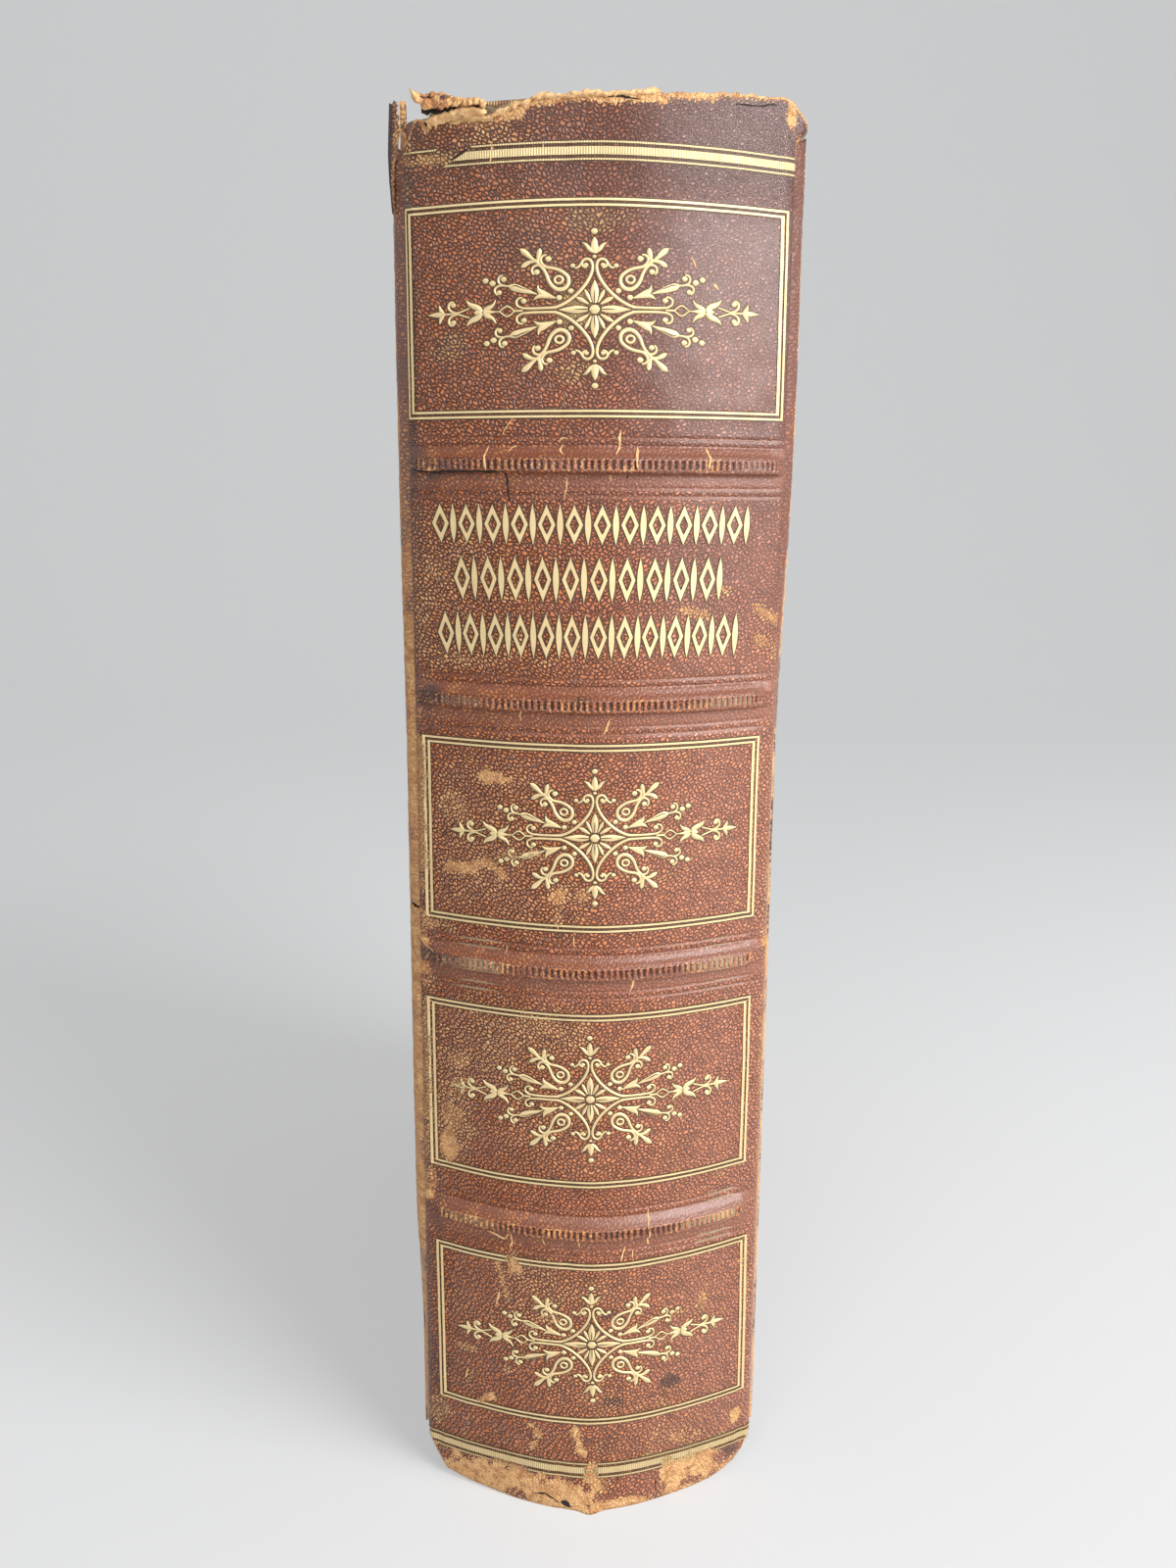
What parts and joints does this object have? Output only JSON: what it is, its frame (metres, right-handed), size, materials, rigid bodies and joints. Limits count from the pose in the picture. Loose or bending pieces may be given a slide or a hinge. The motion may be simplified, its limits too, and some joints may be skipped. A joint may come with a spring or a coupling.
{
  "type": "antique leather book",
  "caption": "Upright antique book in full leather with a rounded gilt spine, raised bands, worn edges, a torn head and two covers that open on their joints.",
  "frame": {"origin": "middle of the foot of the standing book, on the surface it stands on", "axes": "+X across the thickness towards the front cover, +Y from the spine to the fore edge, +Z from tail to head"},
  "size_m": [0.0612, 0.162, 0.236],
  "materials": {
    "spine_leather": "satin",
    "cover_leather": "satin",
    "gold_leaf": "satin",
    "page_paper": "matte",
    "end_paper": "matte",
    "board": "matte",
    "spine_card": "matte",
    "mull_cloth": "matte",
    "hemp_cord": "matte",
    "endband_silk": "satin"
  },
  "bodies": {
    "book_block": {"text_block": "page_paper", "sewing_cords": "hemp_cord", "spine_mull": "mull_cloth", "head_endband": "endband_silk", "tail_endband": "endband_silk", "front_free_endpaper": "end_paper", "back_free_endpaper": "end_paper", "spine_liner": "spine_card", "spine_leather": "spine_leather", "band_core_1": "spine_card", "band_core_2": "spine_card", "band_core_3": "spine_card", "band_core_4": "spine_card", "panel_frame_1": "gold_leaf", "panel_frame_2": "gold_leaf", "panel_frame_3": "gold_leaf", "panel_frame_4": "gold_leaf", "panel_ornament_1": "gold_leaf", "panel_ornament_2": "gold_leaf", "panel_ornament_3": "gold_leaf", "panel_ornament_4": "gold_leaf", "title_rows": "gold_leaf", "head_roll": "gold_leaf", "tail_roll": "gold_leaf"},
    "front_cover": {"front_board": "board", "front_cover_leather": "cover_leather", "front_pastedown": "end_paper"},
    "back_cover": {"back_board": "board", "back_cover_leather": "cover_leather", "back_pastedown": "end_paper"}
  },
  "joints": [
    {"name": "front_cover_hinge", "type": "hinge", "parent": "book_block", "child": "front_cover", "pos_m": [0.03035, -0.06746, 0.118], "axis": [0, 0, -1], "range_deg": [0, 180]},
    {"name": "back_cover_hinge", "type": "hinge", "parent": "book_block", "child": "back_cover", "pos_m": [-0.03035, -0.06746, 0.118], "axis": [0, 0, 1], "range_deg": [0, 180]}
  ]
}
